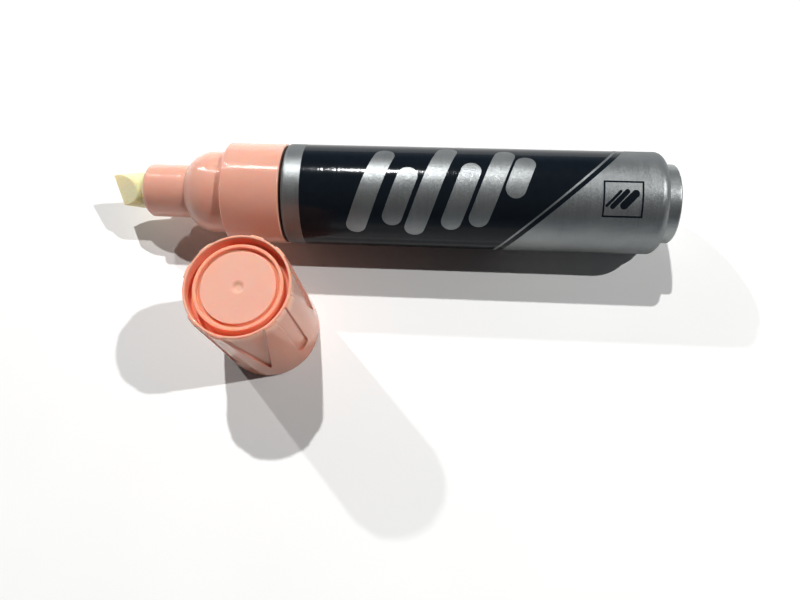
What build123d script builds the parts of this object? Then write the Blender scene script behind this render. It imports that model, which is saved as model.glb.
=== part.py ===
from build123d import *
import math
import os

# A pump-valve liquid chalk marker lies on a table with its nib towards -X, and its cap, taken off,
# stands on its mouth in front of it. Millimetres. The origin is the bottom centre of the whole.
# Places along the marker are measured on its axis from the barrel's front rim, the tail at +X.

# Barrel: drawn aluminium tube, front rim rolled in, rear shoulder rolled over the tail plug
barrel_radius = 14.0
barrel_wall = 0.6
barrel_length = 102.4
rim_bend = 0.3
rim_lip = 0.3
shoulder_bend = 1.9
shoulder_lip = 0.65

# Tail plug: a moulded cup whose spigot shows behind the shoulder
plug_length = 10.0
plug_wall = 1.5
spigot_length = 3.55
spigot_round = 0.6

# Rubber rings that seal the front section and the tail plug in the barrel
ring_wire = 1.6
ring_side_gap = 0.15

# Front section: skirt in the barrel, grip collar, seat for the cap, dome and nose
collar_gap = 0.5
collar_length = 16.1
collar_round = 0.5
collar_step = 2.5
seat_length = 9.25
seat_wall = 2.25
dome_angle = 55.0
dome_rise = 4.05
nose_length = 12.28
nose_wall = 2.0
nose_round = 1.6
skirt_length = 13.0
skirt_wall = 2.7
skirt_round = 0.5
vent_count = 6
vent_width = 1.2
vent_depth = 0.5

# Nib: pressed polyester rod with a slanted chisel edge
nib_out = 9.93
nib_in = 16.0
nib_guide = 13.0
nib_taper = 6.0
nib_slant = 22.7
nib_facet = 34.4
nib_roll = 16.9
nib_back_round = 0.6

# Pump valve: seat gasket, stem, return spring and the cage that holds them
pump_stroke = 2.5
pump_spare = 1.7
chamber_gap = 1.6
port_gap = 1.1
port_wall = 2.0
gasket_thickness = 1.2
flange_thickness = 2.5
cage_wall = 1.0
cage_length = 18.0
window_count = 4
window_width = 4.0
window_length = 8.0
pad_clear = 0.3
pad_thickness = 1.0
rod_radius = 1.3
head_lap = 1.2
head_gap = 0.6
head_thickness = 2.0
guide_radius = 1.2
guide_spare = 1.2
spring_gap = 0.8
spring_wire = 0.6
spring_turns = 8

# Steel balls that stir the ink when the marker is shaken
ball_radius = 3.2
ball_place = 52.0
ball_apart = 0.4

# Cap: double-walled shell with V scoops and slots, and the seal cup pressed into it
cap_inset = 0.05
cap_draft = 0.6
cap_stand_off = 1.86
cap_nib_room = 0.4
cap_dome_room = 0.6
mouth_round = 0.5
relief_depth = 0.75
edge_round = 0.2
rim_wall = 0.7
rim_height = 0.25
groove_depth = 4.3
web_thickness = 1.6
stop_step = 0.3
ring_gap = 1.45
ring_wall = 0.92
ring_drop = 0.83
crease_width = 0.86
crease_depth = 0.9
disc_drop = 1.06
disc_thickness = 0.9
seal_wall = 1.4
seal_lip = 3.0
dimple_radius = 1.5
dimple_depth = 0.45
relief_count = 4
scoop_width = 10.1
scoop_foot = 8.5
slot_width = 3.9
slot_foot = 8.0

# Where the cap stands: beside the barrel rim, clear of the barrel, turned a little
cap_along = -4.7
cap_clear = 8.3
cap_turn = 14.5

# Most of an edge or wall that a rounding takes up
most_round = 0.95

# Clearances between pieces that fit together
running_fit = 0.1
slip_fit = 0.05
seal_fit = 0.02

# Radii that follow from the barrel
bore_radius = barrel_radius - barrel_wall
rim_hole = barrel_radius - barrel_wall - rim_bend - rim_lip
tail_hole = barrel_radius - barrel_wall - shoulder_bend - shoulder_lip
spigot_radius = tail_hole - slip_fit
ring_radius = bore_radius - seal_fit - ring_wire / 2
groove_floor = ring_radius - ring_wire / 2 - seal_fit
groove_width = ring_wire + 2 * ring_side_gap
skirt_radius = bore_radius - slip_fit
skirt_bore = skirt_radius - skirt_wall

# Radii of the front section, from the collar inwards to the nib
seat_radius = barrel_radius - collar_step
nose_radius = seat_radius - dome_rise
nib_bore = nose_radius - nose_wall
nib_radius = nib_bore - running_fit
chamber_radius = nib_radius + chamber_gap
valve_bore = seat_radius - seat_wall

# Radii of the valve, from the stem outwards to the cage
port_radius = rod_radius + port_gap
pad_radius = port_radius - pad_clear
head_radius = port_radius + head_lap
spring_radius = guide_radius + spring_gap + spring_wire / 2
cage_bore = head_radius + head_gap
cage_radius = cage_bore + cage_wall
flange_radius = valve_bore - slip_fit

# Places along the front section, from the barrel's rim forwards
skirt_front = barrel_wall + rim_bend + running_fit
skirt_rear = skirt_front + skirt_length
collar_rear = -collar_gap
collar_front = collar_rear - collar_length
dome_corner = collar_front - seat_length
dome_start = dome_corner - dome_rise / math.tan(math.radians(dome_angle))
nose_front = dome_start - nose_length
nib_back = nose_front + nib_in
chamber_front = nose_front + nib_guide

# The chisel edge leans, so one end of it is the marker's foremost point
slant_rise = math.tan(math.radians(nib_slant))
taper_rise = math.tan(math.radians(nib_taper))
nib_tip = nose_front - nib_out
nib_reach = (nib_out + slant_rise * nib_radius) / (1 + slant_rise * taper_rise)
foremost = nose_front - nib_reach
tail_end = barrel_length + spigot_length

# Places along the valve, from the nib backwards
port_front = nib_back + pump_stroke + pump_spare
port_rear = port_front + port_wall
gasket_rear = port_rear + gasket_thickness
flange_rear = gasket_rear + flange_thickness
cage_rear = gasket_rear + cage_length
cage_floor = cage_rear - cage_wall
head_front = gasket_rear + seal_fit
head_rear = head_front + head_thickness
stem_front = nib_back + slip_fit
stem_rear = cage_rear + guide_spare

# Heights and radii in the cap, from its mouth upwards
seal_foot = collar_front - dome_start - cap_stand_off + cap_dome_room
disc_under = collar_front - foremost - cap_stand_off + cap_nib_room
disc_top = disc_under + disc_thickness
cap_height = disc_top + disc_drop
shelf_height = cap_height - rim_height
ring_top = cap_height - ring_drop
web_top = cap_height - groove_depth
web_under = web_top - web_thickness
cap_bore = seat_radius + running_fit
sleeve_bore = cap_bore - stop_step
cap_radius = barrel_radius - cap_inset
rim_radius = cap_radius - relief_depth
shelf_radius = cap_radius - shelf_height * math.tan(math.radians(cap_draft))
rim_bore = rim_radius - rim_wall
rim_round = min(rim_wall / 3, most_round * rim_height)
ring_outer = rim_bore - ring_gap
ring_inner = ring_outer - ring_wall
seal_radius = ring_inner - seal_fit
seal_bore = seal_radius - seal_wall
lip_bore = nose_radius + running_fit
disc_radius = ring_inner - crease_width

# The middle of the whole on the table
cap_aside = barrel_radius + cap_clear + cap_radius
middle_along = (foremost + tail_end) / 2
middle_aside = -(cap_aside + cap_radius - barrel_radius) / 2


def turned(*corners):
    """Solid turned about X from corners given as (x, radius) or (x, radius, rounding)."""
    points = [corner[:2] for corner in corners]
    roundings = [corner[2] if len(corner) == 3 else 0 for corner in corners]
    return revolve(make_face(FilletPolyline(*points, radius=roundings, close=True)), Axis.X)


def seal_groove(middle, outside):
    """Corners of a ring groove sunk into a cylinder, from front to rear."""
    front = middle - groove_width / 2
    rear = middle + groove_width / 2
    return [(front, outside), (front, groove_floor), (rear, groove_floor), (rear, outside)]


def seal_ring(middle):
    return revolve(Pos(middle, ring_radius) * Circle(ring_wire / 2), Axis.X)


def barrel():
    inside_end = barrel_length - barrel_wall
    return turned(
        (0, rim_hole),
        (0, barrel_radius, rim_bend + barrel_wall),
        (barrel_length, barrel_radius, shoulder_bend + barrel_wall),
        (barrel_length, tail_hole),
        (inside_end, tail_hole),
        (inside_end, bore_radius, shoulder_bend),
        (barrel_wall, bore_radius, rim_bend),
        (barrel_wall, rim_hole),
    )


plug_shoulder = barrel_length - barrel_wall - slip_fit
plug_front = plug_shoulder - plug_length
tail_ring_place = plug_front + (plug_length - shoulder_bend) / 2


def tail_plug():
    return turned(
        (plug_front, spigot_radius - plug_wall),
        (plug_front, skirt_radius),
        *seal_groove(tail_ring_place, skirt_radius),
        (plug_shoulder, skirt_radius, shoulder_bend),
        (plug_shoulder, spigot_radius),
        (tail_end, spigot_radius, spigot_round),
        (tail_end, 0),
        (tail_end - plug_wall, 0),
        (tail_end - plug_wall, spigot_radius - plug_wall),
    )


section_ring_place = (skirt_front + skirt_rear) / 2


def front_section():
    slope = dome_rise / math.sin(math.radians(dome_angle))
    dome_round = most_round * slope / math.tan(math.radians(dome_angle / 2))
    neck_radius = rim_hole - running_fit
    section = turned(
        (nose_front, nib_bore),
        (nose_front, nose_radius, min(nose_round, most_round * (nose_radius - nib_bore))),
        (dome_start, nose_radius),
        (dome_corner, seat_radius, dome_round),
        (collar_front, seat_radius),
        (collar_front, barrel_radius, collar_round),
        (collar_rear, barrel_radius, collar_round),
        (collar_rear, neck_radius),
        (skirt_front, neck_radius),
        (skirt_front, skirt_radius),
        *seal_groove(section_ring_place, skirt_radius),
        (skirt_rear, skirt_radius, skirt_round),
        (skirt_rear, skirt_bore),
        (flange_rear, skirt_bore),
        (flange_rear, valve_bore),
        (port_rear, valve_bore),
        (port_rear, port_radius),
        (port_front, port_radius),
        (port_front, chamber_radius),
        (chamber_front, chamber_radius),
        (chamber_front, nib_bore),
    )
    vent = Pos((nose_front + chamber_front) / 2, 0, nib_bore) * Box(nib_guide, vent_width, 2 * vent_depth)
    for i in range(vent_count):
        section -= Rot(X=360 * i / vent_count) * vent
    return section


def nib():
    tip_radius = nib_radius - nib_reach * taper_rise
    rod = turned(
        (foremost, 0),
        (foremost, tip_radius),
        (nose_front, nib_radius),
        (nib_back, nib_radius, nib_back_round),
        (nib_back, 0),
    )
    length = nib_back - nib_tip
    spread = length * math.tan(math.radians(nib_facet))
    wedge = Plane.XZ * make_face(Polyline((0, 0), (length, spread), (length, -spread), close=True))
    lean = Vector(-slant_rise, 1, 0)
    chisel = extrude(wedge, amount=4 * nib_radius, dir=lean, both=True)
    return Rot(X=nib_roll) * (rod & (Pos(nib_tip, 0, 0) * chisel))


def valve_gasket():
    outside = valve_bore - seal_fit
    return turned(
        (port_rear, port_radius),
        (port_rear, outside),
        (gasket_rear, outside),
        (gasket_rear, port_radius),
    )


def valve_stem():
    return turned(
        (stem_front, 0),
        (stem_front, pad_radius),
        (stem_front + pad_thickness, pad_radius),
        (stem_front + pad_thickness, rod_radius),
        (head_front, rod_radius),
        (head_front, head_radius),
        (head_rear, head_radius),
        (head_rear, guide_radius),
        (stem_rear, guide_radius),
        (stem_rear, 0),
    )


def valve_cage():
    guide_hole = guide_radius + running_fit
    cage = turned(
        (gasket_rear, cage_bore),
        (gasket_rear, flange_radius),
        (flange_rear, flange_radius),
        (flange_rear, cage_radius),
        (cage_rear, cage_radius),
        (cage_rear, guide_hole),
        (cage_floor, guide_hole),
        (cage_floor, cage_bore),
    )
    window = Pos((flange_rear + cage_floor) / 2, 0, cage_radius)
    window *= Box(window_length, window_width, 2 * cage_wall + window_width)
    for i in range(window_count):
        cage -= Rot(X=360 * i / window_count) * window
    return cage


def valve_spring():
    """Round wire on quarter-turn biarcs, between the stem's head and the floor of the cage."""
    start = head_rear + spring_wire / 2 + seal_fit
    length = cage_floor - seal_fit - spring_wire / 2 - start
    quarters = 4 * spring_turns
    rise = length / quarters
    along = Vector(rise, 0, 0)
    arcs = []
    for i in range(quarters):
        turn = math.pi / 2 * i
        out = Vector(0, math.cos(turn), math.sin(turn))
        side = Vector(0, -math.sin(turn), math.cos(turn))
        begin = Vector(start + rise * i, 0, 0) + out * spring_radius
        end = begin + along + (side - out) * spring_radius
        leave = (side * spring_radius * math.pi / 2 + along).normalized()
        arrive = (along - out * spring_radius * math.pi / 2).normalized()
        arcs += biarc(begin, leave, end, arrive)
    wire = Wire(arcs)
    section = Plane(origin=wire @ 0, z_dir=wire % 0) * Circle(spring_wire / 2)
    print("valve spring: least gap between turns", round(4 * rise - spring_wire, 2))
    return sweep(section, path=wire)


def biarc(begin, leave, end, arrive):
    """Two arcs that join two points smoothly, each leaving its point along the tangent there."""
    chord = end - begin
    both = leave + arrive
    square = 2 * (1 - leave.dot(arrive))
    reach = (math.sqrt(chord.dot(both) ** 2 + square * chord.dot(chord)) - chord.dot(both)) / square
    first = begin + leave * reach
    second = end - arrive * reach
    middle = (first + second) * 0.5
    return [
        Edge.make_tangent_arc(begin, leave, middle),
        Edge.make_tangent_arc(middle, (second - first).normalized(), end),
    ]


def mixing_ball(place):
    return Pos(place, 0, ball_radius + slip_fit - bore_radius) * Sphere(ball_radius)


upright = Plane(origin=(0, 0, 0), x_dir=(0, 0, 1), z_dir=(0, 1, 0))


def relief_cutters():
    """V scoops and slots that leave the raised lands on the cap's side, cut down to the rim's radius."""
    top = cap_height + rim_height
    half_slot = slot_width / 2
    slope = (shelf_height - scoop_foot) / (scoop_width / 2)
    scoop_half = (top - scoop_foot) / slope
    scoop = make_face(Polyline((0, scoop_foot), (scoop_half, top), (-scoop_half, top), close=True))
    slot = make_face(
        FilletPolyline(
            (-half_slot, slot_foot),
            (half_slot, slot_foot),
            (half_slot, top),
            (-half_slot, top),
            radius=[most_round * half_slot, most_round * half_slot, 0, 0],
            close=True,
        )
    )
    reach = cap_radius + slot_width
    cutters = []
    for i in range(relief_count):
        turn = 360 * i / relief_count
        cutters.append(Rot(Z=turn) * extrude(Plane.YZ * scoop, amount=reach))
        cutters.append(Rot(Z=turn + 180 / relief_count) * extrude(Plane.YZ * slot, amount=reach))
    core = Pos(0, 0, cap_height / 2) * Cylinder(rim_radius, 2 * cap_height)
    return [cutter - core for cutter in cutters]


def cap_shell():
    shell = upright * turned(
        (0, cap_bore),
        (0, cap_radius, mouth_round),
        (shelf_height, shelf_radius, (shelf_radius - rim_radius) / 2),
        (shelf_height, rim_radius),
        (cap_height, rim_radius, rim_round),
        (cap_height, rim_bore, rim_round),
        (web_top, rim_bore),
        (web_top, ring_outer),
        (ring_top, ring_outer, ring_wall / 4),
        (ring_top, ring_inner, ring_wall / 4),
        (web_under, ring_inner),
        (web_under, sleeve_bore),
        (seal_foot, sleeve_bore),
        (seal_foot, cap_bore),
    )
    for cutter in relief_cutters():
        shell -= cutter
    return shell


def cap_seal():
    return upright * turned(
        (seal_foot, lip_bore),
        (seal_foot, seal_radius),
        (disc_top - crease_depth, seal_radius),
        (disc_top - crease_depth, disc_radius),
        (disc_top, disc_radius, edge_round),
        (disc_top, dimple_radius, dimple_radius),
        (disc_top - dimple_depth, dimple_radius / 2, dimple_radius),
        (disc_top - dimple_depth, 0),
        (disc_under, 0),
        (disc_under, seal_bore, seal_wall),
        (seal_foot + seal_lip, seal_bore),
        (seal_foot + seal_lip, lip_bore),
    )


marker_place = Pos(-middle_along, -middle_aside, barrel_radius)
cap_place = Pos(cap_along - middle_along, -cap_aside - middle_aside, 0) * Rot(Z=cap_turn)

pieces = {
    "barrel": marker_place * barrel(),
    "tail_plug": marker_place * tail_plug(),
    "tail_seal_ring": marker_place * seal_ring(tail_ring_place),
    "front_section": marker_place * front_section(),
    "section_seal_ring": marker_place * seal_ring(section_ring_place),
    "nib": marker_place * nib(),
    "valve_gasket": marker_place * valve_gasket(),
    "valve_stem": marker_place * valve_stem(),
    "valve_spring": marker_place * valve_spring(),
    "valve_cage": marker_place * valve_cage(),
    "mixing_ball_front": marker_place * mixing_ball(ball_place),
    "mixing_ball_rear": marker_place * mixing_ball(ball_place + 2 * ball_radius + ball_apart),
    "cap_shell": cap_place * cap_shell(),
    "cap_seal": cap_place * cap_seal(),
}

os.makedirs("parts", exist_ok=True)
for name, piece in pieces.items():
    export_step(piece, f"parts/{name}.step")
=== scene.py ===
import math

import bmesh
import bpy
from mathutils import Euler, Matrix, Vector, noise


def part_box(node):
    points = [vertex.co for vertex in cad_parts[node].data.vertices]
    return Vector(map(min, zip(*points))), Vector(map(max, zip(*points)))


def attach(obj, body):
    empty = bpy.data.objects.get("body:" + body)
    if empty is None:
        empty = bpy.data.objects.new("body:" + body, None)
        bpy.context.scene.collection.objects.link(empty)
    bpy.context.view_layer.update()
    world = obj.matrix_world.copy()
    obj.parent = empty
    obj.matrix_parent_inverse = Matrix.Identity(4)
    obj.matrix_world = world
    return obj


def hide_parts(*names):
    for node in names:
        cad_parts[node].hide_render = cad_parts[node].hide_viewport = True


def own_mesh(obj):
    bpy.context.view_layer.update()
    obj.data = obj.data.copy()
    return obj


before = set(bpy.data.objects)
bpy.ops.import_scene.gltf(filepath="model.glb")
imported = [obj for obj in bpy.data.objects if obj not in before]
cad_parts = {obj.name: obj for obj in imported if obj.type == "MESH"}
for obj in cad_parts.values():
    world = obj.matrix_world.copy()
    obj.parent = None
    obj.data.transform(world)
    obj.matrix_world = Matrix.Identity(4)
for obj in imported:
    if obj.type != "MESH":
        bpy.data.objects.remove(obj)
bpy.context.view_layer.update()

# Barrel. A drawn aluminium tube, sprayed with silver metallic lacquer. Its front rim is rolled in over the
# front section, and its rear shoulder is rolled over the tail plug.
mm = 0.001
rim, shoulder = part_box("barrel")
barrel_radius = (shoulder.z - rim.z) / 2
axis_y = (rim.y + shoulder.y) / 2
axis_z = (rim.z + shoulder.z) / 2


def linear(code):
    """Linear colour of an sRGB hex value."""
    parts = [int(code[i : i + 2], 16) / 255 for i in (1, 3, 5)]
    return [part / 12.92 if part <= 0.04045 else ((part + 0.055) / 1.055) ** 2.4 for part in parts] + [1.0]


def put(tree, kind, inputs, out=None, **settings):
    """Adds a shader node, or takes one that is there, with its settings, values and links.

    Returns the output that out names, or the node. A colour mix has its share in socket 0, its two colours in
    sockets 6 and 7, and its result in output 2."""
    made = tree.nodes.new("ShaderNode" + kind) if isinstance(kind, str) else kind
    for name, value in settings.items():
        setattr(made, name, value)
    for name, value in inputs.items():
        if isinstance(value, bpy.types.NodeSocket):
            tree.links.new(value, made.inputs[name])
        else:
            made.inputs[name].default_value = value
    return made if out is None else made.outputs[out]


def coating(name):
    """A new material, its node tree, its shader and the place on its object."""
    made = bpy.data.materials.new(name)
    made.use_nodes = True
    tree = made.node_tree
    return made, tree, tree.nodes["Principled BSDF"], put(tree, "TexCoord", {}, "Object")


def coat(node, material):
    """Gives a CAD node its material."""
    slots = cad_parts[node].data.materials
    slots.clear()
    slots.append(material)


def tilt_flakes(tree, flakes, tilt, surface):
    """Normal of a surface, tilted its own way on each flake."""
    tilts = {0: flakes, 1: [2 * tilt] * 3, 2: surface}
    tilted = put(tree, "VectorMath", tilts, 0, operation="MULTIPLY_ADD")
    centred = put(tree, "VectorMath", {0: tilted, 1: [tilt] * 3}, 0, operation="SUBTRACT")
    return put(tree, "VectorMath", {0: centred}, 0, operation="NORMALIZE")


flake_size = 0.13 * mm  # real flakes are near 0.03 mm, drawn as coarse as they need to show
flake_tilt = 0.09
ring_pitch = 0.5 * mm
ring_length = 14 * mm
ring_depth = 0.004 * mm
cloud_size = 9 * mm
dent_size = 5 * mm
dent_depth = 0.022 * mm
dent_start = rim.x + 84.4 * mm
dent_end = rim.x + 93.4 * mm
# Silver metallic lacquer, sprayed. Aluminium flakes lie in a clear binder, so the tube is grey where it faces
# the dark room and breaks a highlight up into sparks. It keeps the faint rings that the drawing die left
# round the tube, and has shallow dents towards the tail.
silver_lacquer, tree, shader, place = coating("silver_metallic_lacquer_sprayed")
flakes = put(tree, "TexVoronoi", {"Vector": place, "Scale": 1 / flake_size}, "Color")
ring_scale = (1 / ring_pitch, 1 / ring_length, 1 / ring_length)
stretch = put(tree, "Mapping", {"Vector": place, "Scale": ring_scale}, 0)
rings = put(tree, "TexNoise", {"Vector": stretch, "Scale": 1, "Detail": 3}, "Fac")
clouds = put(tree, "TexNoise", {"Vector": place, "Scale": 1 / cloud_size, "Detail": 2}, "Fac")
tone = put(tree, "Math", {0: rings, 1: 0.5, 2: clouds}, 0, operation="MULTIPLY_ADD")
tone = put(tree, "MapRange", {"Value": tone, "From Min": 0.45, "From Max": 1.05}, 0)
silver = put(tree, "Mix", {0: tone, 6: linear("#8A8D8E"), 7: linear("#999C9C")}, 2, data_type="RGBA")
matt_range = {"From Min": 0.3, "From Max": 0.7, "To Min": 0.38, "To Max": 0.46}
matt = put(tree, "MapRange", {"Value": rings} | matt_range, 0)
along = put(tree, "SeparateXYZ", {0: place}, "X")
dent_range = {"From Min": dent_start, "From Max": dent_end}
near_tail = put(tree, "MapRange", {"Value": along} | dent_range, 0, interpolation_type="SMOOTHSTEP")
dent_noise = {"Scale": 1 / dent_size, "Detail": 3, "Distortion": 1.2}
dents = put(tree, "TexNoise", {"Vector": place} | dent_noise, "Fac")
dents = put(tree, "Math", {0: dents, 1: near_tail}, 0, operation="MULTIPLY")
ringed = put(tree, "Bump", {"Height": rings, "Distance": ring_depth, "Strength": 1.0}, 0)
dented = put(tree, "Bump", {"Height": dents, "Distance": dent_depth, "Strength": 1.0, "Normal": ringed}, 0)
tilted = tilt_flakes(tree, flakes, flake_tilt, dented)
put(
    tree,
    shader,
    {
        "Base Color": silver,
        "Metallic": 0.74,
        "Roughness": matt,
        "Normal": tilted,
        "Specular Tint": linear("#B9B9B9"),
    },
)
coat("barrel", silver_lacquer)

# Print on the barrel. Black screen ink, rolled on and baked, which leaves the lacquer bare as a front band, a
# row of slanted strokes and a pinstripe. A square mark with three strokes of growing width stands by the
# tail. Its places are in millimetres, along from the front rim and round from the top.
ink_lift = 0.004 * mm
ink_height = 0.012 * mm
ink_weld = 0.002 * mm
half_girth = math.pi * barrel_radius / mm
girth_steps = 180
strip = 0.5
cut_gap = 1e-5
place_digits = 7
end_steps = 16
band_width = 5.2
rear_middle = 76.1
rear_swing = 15.8
rear_turn = math.radians(66)
border_width = 1.7
pinstripe = 0.8
stroke_width = 5.4
stroke_lean = math.radians(19)
mark_front, mark_rear = 84.7, 95.0
mark_top, mark_low = 0.9, 10.5
mark_line = 0.45
mark_lean = math.radians(42)


def stand(name, data):
    """A mesh, lamp or camera as a new object in the scene."""
    made = bpy.data.objects.new(name, data)
    bpy.context.scene.collection.objects.link(made)
    return made


def printed(name, outlines, ink):
    """Ink film on the barrel, cut to the closed outlines and wrapped round the tube strip by strip."""
    drawing = bpy.data.curves.new(name, "CURVE")
    drawing.dimensions = "2D"
    drawing.fill_mode = "BOTH"
    for outline in outlines:
        spline = drawing.splines.new("POLY")
        spline.points.add(len(outline) - 1)
        for point, (x, around) in zip(spline.points, outline):
            point.co = (x, around, 0, 1)
        spline.use_cyclic_u = True
    holder = bpy.data.objects.new(name + "_drawing", drawing)
    flat = bpy.data.meshes.new_from_object(holder)
    bpy.data.objects.remove(holder)
    film = bmesh.new()
    film.from_mesh(flat)
    bpy.data.meshes.remove(flat)
    lowest = min(v.co.y for v in film.verts)
    highest = max(v.co.y for v in film.verts)
    for i in range(1, math.ceil((highest - lowest) / strip)):
        everything = film.verts[:] + film.edges[:] + film.faces[:]
        level = (0, lowest + strip * i, 0)
        bmesh.ops.bisect_plane(film, geom=everything, plane_co=level, plane_no=(0, 1, 0), dist=cut_gap)
    inside = barrel_radius + ink_lift
    outside = barrel_radius + ink_height
    for v in film.verts:
        turn = v.co.y * mm / barrel_radius
        v.co = (rim.x + v.co.x * mm, axis_y - inside * math.sin(turn), axis_z + inside * math.cos(turn))
    bmesh.ops.remove_doubles(film, verts=film.verts[:], dist=ink_weld)
    grown = bmesh.ops.extrude_face_region(film, geom=film.faces[:])["geom"]
    for v in grown:
        if isinstance(v, bmesh.types.BMVert):
            v.co.y = axis_y + (v.co.y - axis_y) * outside / inside
            v.co.z = axis_z + (v.co.z - axis_z) * outside / inside
    bmesh.ops.recalc_face_normals(film, faces=film.faces[:])
    # Extruding adds the film's edge faces in no fixed order, so the faces are sorted by place.
    centres = {}
    for face in film.faces:
        centres[face] = [round(part, place_digits) for part in face.calc_center_median()]
    for rank, face in enumerate(sorted(centres, key=centres.get)):
        face.index = rank
    film.faces.sort()
    mesh = bpy.data.meshes.new(name)
    film.to_mesh(mesh)
    film.free()
    normals = []
    middle = (inside + outside) / 2
    for face in mesh.polygons:
        corners = [mesh.vertices[i].co for i in face.vertices]
        spokes = [Vector((0, corner.y - axis_y, corner.z - axis_z)) for corner in corners]
        top = all(spoke.length > middle for spoke in spokes)
        normals += [spoke.normalized() if top else face.normal for spoke in spokes]
    mesh.normals_split_custom_set(normals)
    mesh.materials.append(ink)
    piece = stand(name, mesh)
    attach(piece, "marker")


def stroke(x, around, length, width, lean):
    """Outline of a round-ended stroke about a middle point, leaning from upright."""
    reach = (length - width) / 2
    tip = Vector((math.sin(lean), -math.cos(lean)))
    side = Vector((-tip.y, tip.x))
    outline = []
    for sign in (1, -1):
        for i in range(end_steps + 1):
            turn = math.pi * (i / end_steps - 0.5)
            offset = tip * (sign * math.cos(turn)) + side * (sign * math.sin(turn))
            point = Vector((x, around)) + tip * (sign * reach) + offset * (width / 2)
            outline.append(tuple(point))
    return outline


def rear_edge(around, back):
    """Place along of the print's slanted rear edge, a plane cut through the tube, set forward by back."""
    return rear_middle + rear_swing * math.cos(around * mm / barrel_radius + rear_turn) - back


def square(inset):
    """Outline of the square mark, set in from its border's outside."""
    return [
        (mark_front + inset, mark_top + inset),
        (mark_rear - inset, mark_top + inset),
        (mark_rear - inset, mark_low - inset),
        (mark_front + inset, mark_low - inset),
    ]


grain_size = 0.26 * mm  # finer in truth, drawn as coarse as it needs to show
grain_depth = 0.008 * mm
peel_size = 2.2 * mm
peel_depth = 0.0012 * mm
die_depth = 0.03 * mm
# Black screen ink, baked. A smooth gloss film that mirrors lamps as a thin line, broken by the lacquer's
# grain and the die's rings under it.
black_ink, tree, shader, place = coating("black_screen_ink_baked")
grain = put(tree, "TexNoise", {"Vector": place, "Scale": 1 / grain_size, "Detail": 1}, "Fac")
peel = put(tree, "TexNoise", {"Vector": place, "Scale": 1 / peel_size, "Detail": 2}, "Fac")
stretch = put(tree, "Mapping", {"Vector": place, "Scale": ring_scale}, 0)
rings = put(tree, "TexNoise", {"Vector": stretch, "Scale": 1, "Detail": 3}, "Fac")
rough = put(tree, "Bump", {"Height": rings, "Distance": die_depth, "Strength": 1.0}, 0)
rough = put(tree, "Bump", {"Height": peel, "Distance": peel_depth, "Strength": 1.0, "Normal": rough}, 0)
rough = put(tree, "Bump", {"Height": grain, "Distance": grain_depth, "Strength": 1.0, "Normal": rough}, 0)
black = put(tree, "Mix", {0: peel, 6: linear("#161C23"), 7: linear("#1C232A")}, 2, data_type="RGBA")
gloss = put(tree, "MapRange", {"Value": peel, "To Min": 0.09, "To Max": 0.14}, 0)
put(
    tree,
    shader,
    {"Base Color": black, "Roughness": gloss, "Normal": rough, "IOR": 1.45, "Specular IOR Level": 0.25},
)

girth = [half_girth * (2 * i / girth_steps - 1) for i in range(girth_steps + 1)]
back = border_width + pinstripe
field = [(band_width, -half_girth), (band_width, half_girth)]
field += [(rear_edge(around, back), around) for around in reversed(girth)]
strokes = [
    stroke(23.9, 4.5, 27, stroke_width, stroke_lean),
    stroke(32.0, 6.5, 17, stroke_width, stroke_lean),
    stroke(40.1, 3.5, 30, stroke_width, stroke_lean),
    stroke(48.2, 6.0, 20, stroke_width, stroke_lean),
    stroke(56.3, 2.5, 25, stroke_width, stroke_lean),
    stroke(63.6, 0.0, 13, stroke_width, stroke_lean),
]
printed("black_field", [field] + strokes, black_ink)
border = [(rear_edge(around, border_width), around) for around in girth]
border += [(rear_edge(around, 0), around) for around in reversed(girth)]
printed("black_border", [border], black_ink)
mark_strokes = [
    stroke(87.4, 5.6, 5.8, 0.7, mark_lean),
    stroke(89.0, 5.7, 6.6, 1.3, mark_lean),
    stroke(91.5, 5.8, 6.2, 2.0, mark_lean),
]
printed("width_mark", [square(0), square(mark_line)] + mark_strokes, black_ink)

# Tail plug. A cup moulded in silver-pigmented ABS, pressed into the tube's end before the shoulder is rolled
# over it, so that only its smooth spigot shows.
flow_size = 6 * mm
pigment_size = 0.2 * mm  # finer in truth, drawn as coarse as it needs to show
pigment_tilt = 0.05
# Silver ABS, moulded. The pigment lies flat under a smooth skin, which gives a tighter highlight than the
# lacquer's, with flow marks.
silver_abs, tree, shader, place = coating("silver_abs_moulded")
flow = put(tree, "TexNoise", {"Vector": place, "Scale": 1 / flow_size, "Detail": 2, "Distortion": 0.8}, "Fac")
pigment = put(tree, "TexVoronoi", {"Vector": place, "Scale": 1 / pigment_size}, "Color")
grey = put(tree, "Mix", {0: flow, 6: linear("#9A9D9D"), 7: linear("#A8ABAB")}, 2, data_type="RGBA")
skin = put(tree, "MapRange", {"Value": flow, "To Min": 0.34, "To Max": 0.42}, 0)
surface = put(tree, "NewGeometry", {}, "Normal")
tilted = tilt_flakes(tree, pigment, pigment_tilt, surface)
put(tree, shader, {"Base Color": grey, "Metallic": 0.76, "Roughness": skin, "Normal": tilted})
coat("tail_plug", silver_abs)

# Seal rings and valve gasket. Moulded nitrile rubber: the rings lie in grooves of the plug and the front
# section, and the gasket is the seat that the valve's head closes on.
bloom_size = 0.8 * mm
grit_depth = 0.006 * mm
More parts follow.
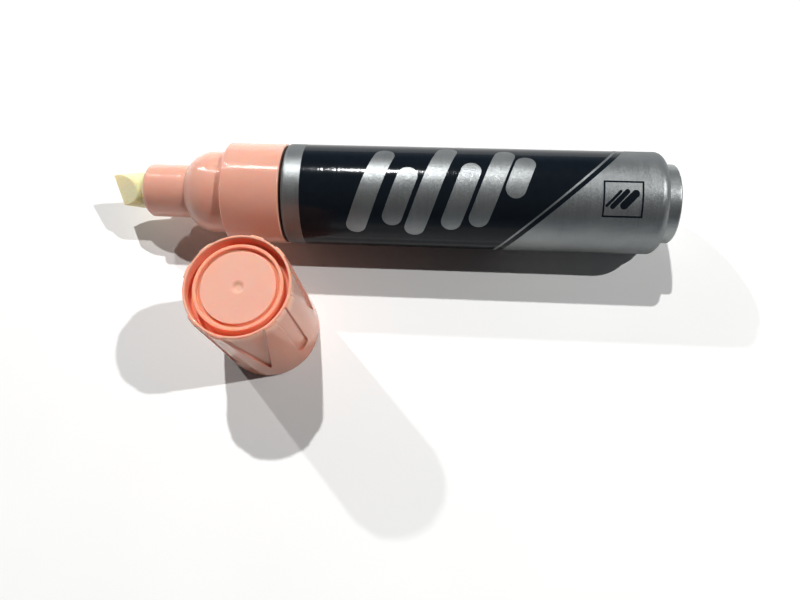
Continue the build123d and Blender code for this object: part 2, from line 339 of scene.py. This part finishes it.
# Nitrile rubber, moulded. Dull black with a dusty bloom, and a soft sheen where it curves away.
nitrile, tree, shader, place = coating("nitrile_rubber_moulded")
bloom = put(tree, "TexNoise", {"Vector": place, "Scale": 1 / bloom_size, "Detail": 4}, "Fac")
black = put(tree, "Mix", {0: bloom, 6: linear("#161616"), 7: linear("#2B2A29")}, 2, data_type="RGBA")
dull = put(tree, "MapRange", {"Value": bloom, "To Min": 0.55, "To Max": 0.8}, 0)
grit = put(tree, "Bump", {"Height": bloom, "Distance": grit_depth, "Strength": 1.0}, 0)
put(tree, shader, {"Base Color": black, "Roughness": dull, "Normal": grit, "IOR": 1.52, "Sheen Weight": 0.1})
for node in ("tail_seal_ring", "section_seal_ring", "valve_gasket"):
    coat(node, nitrile)

# Front section. One coral polypropylene moulding, from the skirt in the barrel to the nose that guides the
# nib, made in a turned tool. The cap and its seal are moulded in the same plastic.
# Painted shade: the deep gap behind the collar, at the barrel's rim, is painted dark.
shaded_gap_place = rim.x - 0.6 * mm
shaded_gap_fade = 0.15 * mm


def coral(name, shades, scatter, mark_size, mark_depth, gloss, haze=0.06, joint=None, crown=None, painted_wall_shade=None):
    """Coral polypropylene, with the reach of scattered light and the size and depth of tool marks in mm.

    Behind a place along x, the deep gap at a joint takes a painted shade, and light no longer scatters in it.
    A crown is a shade that it takes on from one height to another, and the wall colour is a painted shade on
    the walls of the mesh's relief."""
    made, tree, shader, place = coating(name)
    cloud_size = 7 * mm
    grain_size = 0.3 * mm
    grain_depth = 0.0014 * mm
    cloud_noise = {"Scale": 1 / cloud_size, "Detail": 3, "Distortion": 0.6}
    clouds = put(tree, "TexNoise", {"Vector": place} | cloud_noise, "Fac")
    mark_scale = [1 / (size * mm) for size in mark_size]
    stretch = put(tree, "Mapping", {"Vector": place, "Scale": mark_scale}, 0)
    marks = put(tree, "TexNoise", {"Vector": stretch, "Scale": 1, "Detail": 2}, "Fac")
    grain = put(tree, "TexNoise", {"Vector": place, "Scale": 1 / grain_size, "Detail": 2}, "Fac")
    light, deep = [linear(shade) for shade in shades]
    pink = put(tree, "Mix", {0: clouds, 6: deep, 7: light}, 2, data_type="RGBA")
    weight = 1.0
    if crown:
        start, end, shade = crown
        height = put(tree, "SeparateXYZ", {0: place}, "Z")
        height = put(tree, "MapRange", {"Value": height, "From Min": start, "From Max": end}, 0)
        pink = put(tree, "Mix", {0: height, 6: pink, 7: linear(shade)}, 2, data_type="RGBA")
    # Painted shade: the relief's walls take a darker colour, by the share kept on the mesh.
    if painted_wall_shade:
        steep = put(tree, "Attribute", {}, "Fac", attribute_name="steep")
        pink = put(tree, "Mix", {0: steep, 6: pink, 7: linear(painted_wall_shade)}, 2, data_type="RGBA")
    # Painted shade of the deep gap: dark brown behind the place along x, with no scattering there.
    if joint:
        along = put(tree, "SeparateXYZ", {0: place}, "X")
        unshaded = {"From Min": joint, "From Max": joint + shaded_gap_fade, "To Min": 1.0, "To Max": 0.0}
        weight = put(tree, "MapRange", {"Value": along} | unshaded, 0)
        pink = put(tree, "Mix", {0: weight, 6: linear("#2E1812"), 7: pink}, 2, data_type="RGBA")
    matt = put(tree, "MapRange", {"Value": clouds, "To Min": 0.36, "To Max": 0.46}, 0)
    fine = put(tree, "Bump", {"Height": grain, "Distance": grain_depth, "Strength": 1.0}, 0)
    mark_bump = {"Distance": mark_depth * mm, "Strength": 1.0, "Normal": fine}
    marked = put(tree, "Bump", {"Height": marks} | mark_bump, 0)
    put(
        tree,
        shader,
        {
            "Base Color": pink,
            "Roughness": matt,
            "Normal": fine,
            "IOR": 1.49,
            "Specular IOR Level": 0.1,
            "Subsurface Weight": weight,
            "Subsurface Radius": scatter,
            "Subsurface Scale": mm,
            "Coat Weight": gloss,
            "Coat Roughness": haze,
            "Coat Normal": marked,
        },
    )
    return made


# Coral polypropylene, moulded in a turned tool. Slightly cloudy, so that light goes in a little way and comes
# back redder, with a thin gloss that the tool's fine rings break up into sparks along the marker.
coral_turned = coral(
    "coral_polypropylene_turned_tool",
    shades=("#E8B5A2", "#E2AF9C"),
    scatter=(0.9, 0.5, 0.3),
    mark_size=(0.25, 1.6, 1.6),
    mark_depth=0.06,
    gloss=0.9,
    haze=0.11,
    joint=shaded_gap_place,
)
coat("front_section", coral_turned)

# Valve stem and cage. Natural acetal mouldings: the nib pushes the stem back, and the cage holds the spring
# and clamps the gasket in the front section.
flow_size = 4 * mm
milk_depth = 0.8 * mm
# Natural acetal, moulded. Milky white and slippery, lit a little from within.
acetal, tree, shader, place = coating("natural_acetal_moulded")
flow = put(tree, "TexNoise", {"Vector": place, "Scale": 1 / flow_size, "Detail": 3}, "Fac")
white = put(tree, "Mix", {0: flow, 6: linear("#E6E6E0"), 7: linear("#F1F1EC")}, 2, data_type="RGBA")
skin = put(tree, "MapRange", {"Value": flow, "To Min": 0.3, "To Max": 0.42}, 0)
put(
    tree,
    shader,
    {
        "Base Color": white,
        "Roughness": skin,
        "IOR": 1.48,
        "Subsurface Weight": 0.15,
        "Subsurface Scale": milk_depth,
    },
)
for node in ("valve_stem", "valve_cage"):
    coat(node, acetal)

# Valve spring. Drawn stainless wire, coiled, between the stem's head and the floor of the cage. It shortens
# as the nib is pressed, so a copy of its turns stands for the solid.
line_pitch = 0.1 * mm
# Stainless wire, drawn. Bright grey, with fine drawing marks that blur each highlight.
spring_steel, tree, shader, place = coating("stainless_wire_drawn")
lines = put(tree, "TexNoise", {"Vector": place, "Scale": 1 / line_pitch, "Detail": 2}, "Fac")
grey = put(tree, "Mix", {0: lines, 6: linear("#A9ABAD"), 7: linear("#C6C8CA")}, 2, data_type="RGBA")
worn = put(tree, "MapRange", {"Value": lines, "To Min": 0.2, "To Max": 0.36}, 0)
put(tree, shader, {"Base Color": grey, "Metallic": 1.0, "Roughness": worn})
coil = stand("spring_wire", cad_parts["valve_spring"].data.copy())
coil.data.materials.clear()
coil.data.materials.append(spring_steel)
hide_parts("valve_spring")
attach(coil, "marker")
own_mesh(coil)

# Nib. A rod of polyester fibre, pressed and bonded, then ground to a slanted chisel edge. It slides in the
# nose, past six vent slots. Its mesh is made in millimetres, with eased edges and pits in its skin.
voxel = 0.14
rod_weld = 0.001
pit_size = 0.5
pit_depth = 0.1
pit_fade, pit_ratio, pit_layers = 1.0, 2.0, 2
thread_width = 0.18 * mm  # real threads are about 0.02 mm, drawn as coarse as they need to show
thread_length = 1.6 * mm
pore_size = 0.34 * mm
pore_depth = 0.05 * mm
soak_depth = 1.0 * mm
# Polyester fibre, bonded. Dry and pale yellow, with threads along the rod, open pores between them and no
# gloss. Light soaks into it and comes back warmer.
fibre, tree, shader, place = coating("polyester_fibre_bonded")
thread_scale = (1 / thread_length, 1 / thread_width, 1 / thread_width)
stretch = put(tree, "Mapping", {"Vector": place, "Scale": thread_scale}, 0)
threads = put(tree, "TexNoise", {"Vector": stretch, "Scale": 1, "Detail": 3}, "Fac")
pores = put(tree, "TexNoise", {"Vector": place, "Scale": 1 / pore_size, "Detail": 3}, "Fac")
mixed = put(tree, "Math", {0: threads, 1: pores}, 0, operation="MULTIPLY")
mixed = put(tree, "MapRange", {"Value": mixed, "From Min": 0.04, "From Max": 0.34}, 0)
yellow = put(tree, "Mix", {0: mixed, 6: linear("#FFD994"), 7: linear("#FFF4C4")}, 2, data_type="RGBA")
felt = put(tree, "Bump", {"Height": mixed, "Distance": pore_depth, "Strength": 0.5}, 0)
put(
    tree,
    shader,
    {
        "Base Color": yellow,
        "Roughness": 0.9,
        "Normal": felt,
        "IOR": 1.4,
        "Subsurface Weight": 1.0,
        "Subsurface Radius": (2.4, 1.4, 0.7),
        "Subsurface Scale": soak_depth,
        "Sheen Weight": 0.5,
        "Sheen Roughness": 0.6,
    },
)
rod = bmesh.new()
rod.from_mesh(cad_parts["nib"].data)
bmesh.ops.scale(rod, vec=(1 / mm, 1 / mm, 1 / mm), verts=rod.verts[:])
bmesh.ops.remove_doubles(rod, verts=rod.verts[:], dist=rod_weld)
solid = bpy.data.meshes.new("nib_rod")
rod.to_mesh(solid)
rod.free()
nib = stand("nib_fibre", solid)
remesh = nib.modifiers.new("voxels", "REMESH")
remesh.mode = "VOXEL"
remesh.voxel_size = voxel
ease = nib.modifiers.new("ease", "SMOOTH")
ease.factor = 0.5
ease.iterations = 8
ground = bpy.data.meshes.new_from_object(nib.evaluated_get(bpy.context.evaluated_depsgraph_get()))
nib.modifiers.clear()
nib.data = ground
bpy.data.meshes.remove(solid)
pits = []
for v in ground.vertices:
    share = abs(noise.fractal(v.co / pit_size, pit_fade, pit_ratio, pit_layers))
    pits.append(v.normal * (pit_depth * share))
for v, pit in zip(ground.vertices, pits):
    v.co = (v.co - pit) * mm
ground.shade_smooth()
ground.materials.clear()
ground.materials.append(fibre)
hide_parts("nib")
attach(nib, "nib")

# Mixing balls. Two steel balls, ground and polished as for a bearing. They lie loose in the barrel and stir
# the ink when the marker is shaken.
scratch_size = 0.9 * mm
# Bearing steel, polished. A mirror, hazed by fine random scratches.
ball_steel, tree, shader, place = coating("bearing_steel_polished")
scratch_noise = {"Scale": 1 / scratch_size, "Detail": 6, "Distortion": 2.0}
haze = put(tree, "TexNoise", {"Vector": place} | scratch_noise, "Fac")
grey = put(tree, "Mix", {0: haze, 6: linear("#C2C4C6"), 7: linear("#D5D6D8")}, 2, data_type="RGBA")
worn = put(tree, "MapRange", {"Value": haze, "To Min": 0.06, "To Max": 0.2}, 0)
put(tree, shader, {"Base Color": grey, "Metallic": 1.0, "Roughness": worn})
for node in ("mixing_ball_front", "mixing_ball_rear"):
    coat(node, ball_steel)

# Cap shell. A double-walled coral polypropylene moulding. Four V scoops and four slots are sunk into its side
# to about the rim's radius, with the soft edges of a moulding tool, so a lathed and sunk mesh stands for the
# solid. Its radii and heights are in millimetres, from the cap's axis and from the table.
cap_foot, cap_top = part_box("cap_shell")
cap_x = (cap_foot.x + cap_top.x) / 2
cap_y = (cap_foot.y + cap_top.y) / 2
cap_turn = math.radians(14.5)
cap_height = cap_top.z / mm
mouth_radius = 13.95
mouth_round = 0.5
draft = math.tan(math.radians(0.6))
shelf_height = cap_height - 0.25
brow_height = cap_height - 0.75
rim_radius, rim_middle, rim_bore = 13.2, 12.95, 12.5
rim_steps = 6
pale_rows = 4
ring_radius, ring_bore = 11.05, 10.13
ring_top = cap_height - 0.83
edge_round = 0.23
groove_floor = cap_height - 4.3
groove_round = 0.3
web_under = groove_floor - 1.6
seal_foot = 10.826
bore_radius, sleeve_radius = 11.6, 11.3
bore_round = 0.3
scoop_apex = 7.7
scoop_half = 5.19
scoop_slope = scoop_half / (shelf_height - scoop_apex)
scoop_round = 0.3
scoop_least, scoop_full = 0.2, 0.8
slot_half = 1.95
slot_foot = 8.0
scoop_count = 4
relief_radius = 13.4
eighth = relief_radius * math.pi / scoop_count
wall_start, wall_end = -0.12, 0.2
# How far the painted wall shade reaches from each wall, in millimetres, and how strongly it holds there.
wall_reach = 0.2
wall_strength = 1.3
floor_sink, sink_height = 0.1, 2.5
edge_steps = [0.6, 0.4, 0.3, 0.24, 0.17, 0.1, 0.03, -0.03, -0.08, -0.15, -0.3, -0.8]
scoop_parts, land_parts, slot_parts = 5, 4, 4
dense_foot, dense_step, dense_rows = 7.4, 0.14, 22
crease = math.radians(60)
painted_glow_shades = ("#FDB398", "#FBAC91")
moulded_scatter = (0.8, 0.28, 0.16)
skin_size, skin_depth = (2.4, 2.4, 2.4), 0.006
# Coral polypropylene, moulded. Its shades are a painted glow, deep orange in the grooves for the light that
# comes through the thin walls, under a rim painted pale, and the skin is dull.
coral_moulded = coral(
    "coral_polypropylene_moulded",
    shades=painted_glow_shades,
    scatter=moulded_scatter,
    mark_size=skin_size,
    mark_depth=skin_depth,
    gloss=0.12,
    crown=(cap_top.z - 1.1 * mm, cap_top.z - 0.15 * mm, "#E8B5A0"),
)
# Coral polypropylene, polished. The cap's outside is the same plastic under a smooth skin that mirrors the
# table. Its shades are a darker copy of the rim's, a painted shade for the side, with a pale band of painted
# light near the top, and the walls of the scoops and slots keep a painted shade up to the top.
coral_polished = coral(
    "coral_polypropylene_polished",
    shades=("#D7947A", "#D18D74"),
    scatter=(0.6, 0.21, 0.12),
    mark_size=skin_size,
    mark_depth=skin_depth,
    gloss=0.85,
    crown=(cap_top.z - 4.0 * mm, cap_top.z - 0.2 * mm, "#F2B798"),
    painted_wall_shade="#D28A73",
)


def eased(share):
    """A share held between 0 and 1, with soft ends."""
    share = min(max(share, 0), 1)
    return share * share * (3 - 2 * share)


def relief(around, z):
    """Share of the full depth, and of a wall, at a place on the cap's side, around from a scoop's middle."""
    lean = math.atan(scoop_slope)
    apex = scoop_apex + scoop_round / math.sin(lean)
    across, up = abs(around), z - apex
    beside = across * math.cos(lean) - up * math.sin(lean)
    beyond = across * math.sin(lean) + up * math.cos(lean)
    scoop = scoop_round - (beside if beyond > 0 else math.hypot(across, up))
    slot = slot_half - math.hypot(eighth - across, min(z - slot_foot - slot_half, 0))
    inside = max(scoop, slot)
    # Share of the painted wall shade, full at each wall and fading away from it.
    steep = min(max(wall_strength - abs(inside) / wall_reach, 0), 1)
    return eased((inside - wall_start) / (wall_end - wall_start)), steep


def columns(z):
    """Places round from the middle of a scoop to the middle of the next slot, close along both edges."""
    half = max((z - scoop_apex) * scoop_slope, scoop_least)
    squeeze = min(1, half / scoop_full)
    near_scoop = [half - step * (squeeze if step > 0 else 1) for step in edge_steps]
    near_slot = [eighth - slot_half + step for step in reversed(edge_steps)]
    land_width = near_slot[0] - near_scoop[-1]
    slot_width = eighth - near_slot[-1]
    scoop = [near_scoop[0] * i / scoop_parts for i in range(scoop_parts)]
    land = [near_scoop[-1] + land_width * i / land_parts for i in range(1, land_parts)]
    slot = [near_slot[-1] + slot_width * i / slot_parts for i in range(1, slot_parts + 1)]
    return scoop + near_scoop + land + near_slot + slot


def bend(out, z, radius, start, end, count=5):
    """Points of an arc about a middle at distance out and height z, from one angle in degrees to another."""
    turns = [math.radians(start + (end - start) * i / count) for i in range(count + 1)]
    return [(out + radius * math.cos(turn), z + radius * math.sin(turn)) for turn in turns]


def side_radius(z):
    """Radius of the drafted side between the scoops and slots."""
    return mouth_radius - z * draft


def floor_radius(z):
    """Radius of the floors of the scoops and slots, which sink a little below the shelf."""
    return rim_radius - floor_sink * eased((shelf_height - z) / sink_height)


# The outside has rows close together where the scoops and slots begin. The inside goes from the rim down the
# groove, over the ring and down the bore.
heights = [1.2, 2.4, 3.6, 4.8, 6.0, 6.9] + [dense_foot + dense_step * i for i in range(dense_rows)]
heights += [10.9] + [12.0 + i for i in range(23)] + [34.9, 35.4]
side = bend(mouth_radius - mouth_round, mouth_round, mouth_round, -90, 0)
side += [(side_radius(z), z) for z in heights]
outer = [(radius, z, floor_radius(z)) for radius, z in side]
for i in range(rim_steps + 1):
    turn = math.radians(90 * i / rim_steps)
    height = brow_height + (cap_height - brow_height) * math.sin(turn)
    land = rim_middle + (side_radius(brow_height) - rim_middle) * math.cos(turn)
    floor = rim_middle + (rim_radius - rim_middle) * math.cos(turn)
    outer.append((land, height, floor))
inner = bend(rim_bore + edge_round, cap_height - edge_round, edge_round, 90, 180)
inner += [(rim_bore, groove_floor + rise) for rise in (3.4, 2.6, 1.8, 1.0)]
inner += bend(rim_bore - groove_round, groove_floor + groove_round, groove_round, 0, -90, 3)
inner += bend(ring_radius + groove_round, groove_floor + groove_round, groove_round, -90, -180, 3)
inner += [(ring_radius, groove_floor + rise) for rise in (1.0, 1.8, 2.6)]
inner += bend(ring_radius - edge_round, ring_top - edge_round, edge_round, 0, 90)
inner += bend(ring_bore + edge_round, ring_top - edge_round, edge_round, 90, 180)
inner += [(ring_bore, z) for z in (34.0, web_under)]
inner += [(sleeve_radius, z) for z in (web_under, 24, 17, seal_foot)]
inner += [(bore_radius, z) for z in (seal_foot, 10.2, 8, 6, 3, 0.6)]
inner += [(bore_radius + bore_round / 2, bore_round / 2), (bore_radius + bore_round, 0.0)]
rows = []
for radius, z, floor in outer:
    places = columns(min(max(z, 0), shelf_height))
    depth = [relief(around, z) for around in places]
    sunk = [radius - max(radius - floor, 0) * share for share, steep in depth]
    rows.append((places, sunk, [steep for share, steep in depth], z))
top_places, foot_places = columns(shelf_height), columns(0)
for i, (radius, z) in enumerate(inner):
    mix = i / (len(inner) - 1)
    places = [top + (foot - top) * mix for top, foot in zip(top_places, foot_places)]
    rows.append((places, [radius] * len(places), [0.0] * len(places), z))
shell = bmesh.new()
loops = []
wall_shade_shares = []
for places, radii, painted_wall_shade, z in rows:
    half = list(zip(places, radii, painted_wall_shade))
    quarter = half + [(2 * eighth - around, radius, steep) for around, radius, steep in half[-2:0:-1]]
    loop = []
    for k in range(scoop_count):
        for around, radius, steep in quarter:
            turn = cap_turn + (around + 2 * eighth * k) / relief_radius
            point = (cap_x + radius * mm * math.cos(turn), cap_y + radius * mm * math.sin(turn), z * mm)
            loop.append(shell.verts.new(point))
            wall_shade_shares.append(steep)
    loops.append(loop)
for row, (one, two) in enumerate(zip(loops, loops[1:] + loops[:1])):
    for i in range(len(one)):
        face = shell.faces.new((one[i - 1], one[i], two[i], two[i - 1]))
        # The top rows of the outside and the whole inside take the copy with the painted glow and pale rim.
        # The rest of the outside takes the darker, shaded copy.
        face.material_index = int(row < len(outer) - pale_rows)
bmesh.ops.recalc_face_normals(shell, faces=shell.faces[:])
shell_mesh = bpy.data.meshes.new("cap_moulding")
shell.to_mesh(shell_mesh)
shell.free()
shell_mesh.attributes.new("steep", "FLOAT", "POINT").data.foreach_set("value", wall_shade_shares)
shell_mesh.shade_smooth()
shell_mesh.set_sharp_from_angle(angle=crease)
shell_mesh.materials.append(coral_moulded)
shell_mesh.materials.append(coral_polished)
cap = stand("cap_moulding", shell_mesh)
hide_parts("cap_shell")
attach(cap, "cap")

# Cap seal. The cup that closes on the nose, pressed into the cap's ring. Its round end shows, with the dimple
# of the moulding gate.
seal_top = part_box("cap_seal")[1].z
# Coral polypropylene, moulded flat. The same plastic, painted pale on the round end, with a painted deep
# orange glow in the crease round it.
coral_seal = coral(
    "coral_polypropylene_moulded_flat",
    shades=painted_glow_shades,
    scatter=moulded_scatter,
    mark_size=skin_size,
    mark_depth=skin_depth,
    gloss=0.12,
    crown=(seal_top - 0.8 * mm, seal_top - 0.5 * mm, "#E9BAA8"),
)
coat("cap_seal", coral_seal)

# Table. A plain sheet of white laminate, pressed smooth, that the marker lies on and the cap stands on. It
# isn't part of the object.
mottle_size = 40 * mm
table_half = 3.0
table_drop = 0.02 * mm
# White laminate, pressed. Almost even, with a faint mottle and a dull skin.
laminate, tree, shader, place = coating("white_laminate_pressed")
mottle = put(tree, "TexNoise", {"Vector": place, "Scale": 1 / mottle_size, "Detail": 2}, "Fac")
white = put(tree, "Mix", {0: mottle, 6: linear("#F4F4F2"), 7: linear("#F8F8F7")}, 2, data_type="RGBA")
put(tree, shader, {"Base Color": white, "Roughness": 0.6, "Specular IOR Level": 0.2})
corners = [(x * table_half, y * table_half, -table_drop) for x, y in ((-1, -1), (1, -1), (1, 1), (-1, 1))]
table_mesh = bpy.data.meshes.new("table")
table_mesh.from_pydata(corners, [], [(0, 1, 2, 3)])
table_mesh.materials.append(laminate)
table = stand("table", table_mesh)

# Lamps and room. Three round lamps behind the object, one on the right, one high behind and one far on the
# left, in a dim grey room. Each lamp has its place and its width in metres, and its power in watts.
lamps = {
    "lamp_right": ((0.973, 0.203, 1.2), 0.027, 12.4),
    "lamp_behind": ((-0.179, 0.932, 1.5), 0.036, 19.4),
    "lamp_left": ((-1.253, 1.32, 1.2), 0.05, 13.7),
}
for name, (position, width, power) in lamps.items():
    light = bpy.data.lights.new(name, "AREA")
    light.shape = "DISK"
    light.size = width
    light.energy = power
    lamp = stand(name, light)
    lamp.location = position
    lamp.rotation_mode = "QUATERNION"
    lamp.rotation_quaternion = (-Vector(position)).to_track_quat("-Z", "Y")
room = bpy.data.worlds.new("room")
room.use_nodes = True
tree = room.node_tree
place = put(tree, "TexCoord", {}, "Generated")
height = put(tree, "SeparateXYZ", {0: place}, "Z")
height = put(tree, "MapRange", {"Value": height, "From Min": 0.05, "From Max": 0.35}, 0)
wall = put(tree, "Mix", {0: height, 6: linear("#A0ABB8"), 7: linear("#343434")}, 2, data_type="RGBA")
put(tree, tree.nodes["Background"], {"Color": wall, "Strength": 1.0})
bpy.context.scene.world = room

# Camera. A phone held above the table, a little to the right, with its whole frame in view. Its turns are in
# degrees about x, y and z.
photo_width = 800
focal_pixels = 665
camera_place = (0.017334, -0.06969, 0.183)
camera_turns = (18.7703, 2.6936, 3.117)
lens = bpy.data.cameras.new("camera")
lens.sensor_fit = "HORIZONTAL"
lens.sensor_width = 36.0
lens.lens = lens.sensor_width * focal_pixels / photo_width
lens.clip_start = 0.005
lens.clip_end = 20.0
camera = stand("camera", lens)
aim = Euler([math.radians(turn) for turn in camera_turns]).to_matrix().to_4x4()
camera.matrix_world = Matrix.Translation(camera_place) @ aim
bpy.context.scene.camera = camera
bpy.context.scene.view_settings.view_transform = "Standard"
bpy.context.scene.view_settings.gamma = 0.88
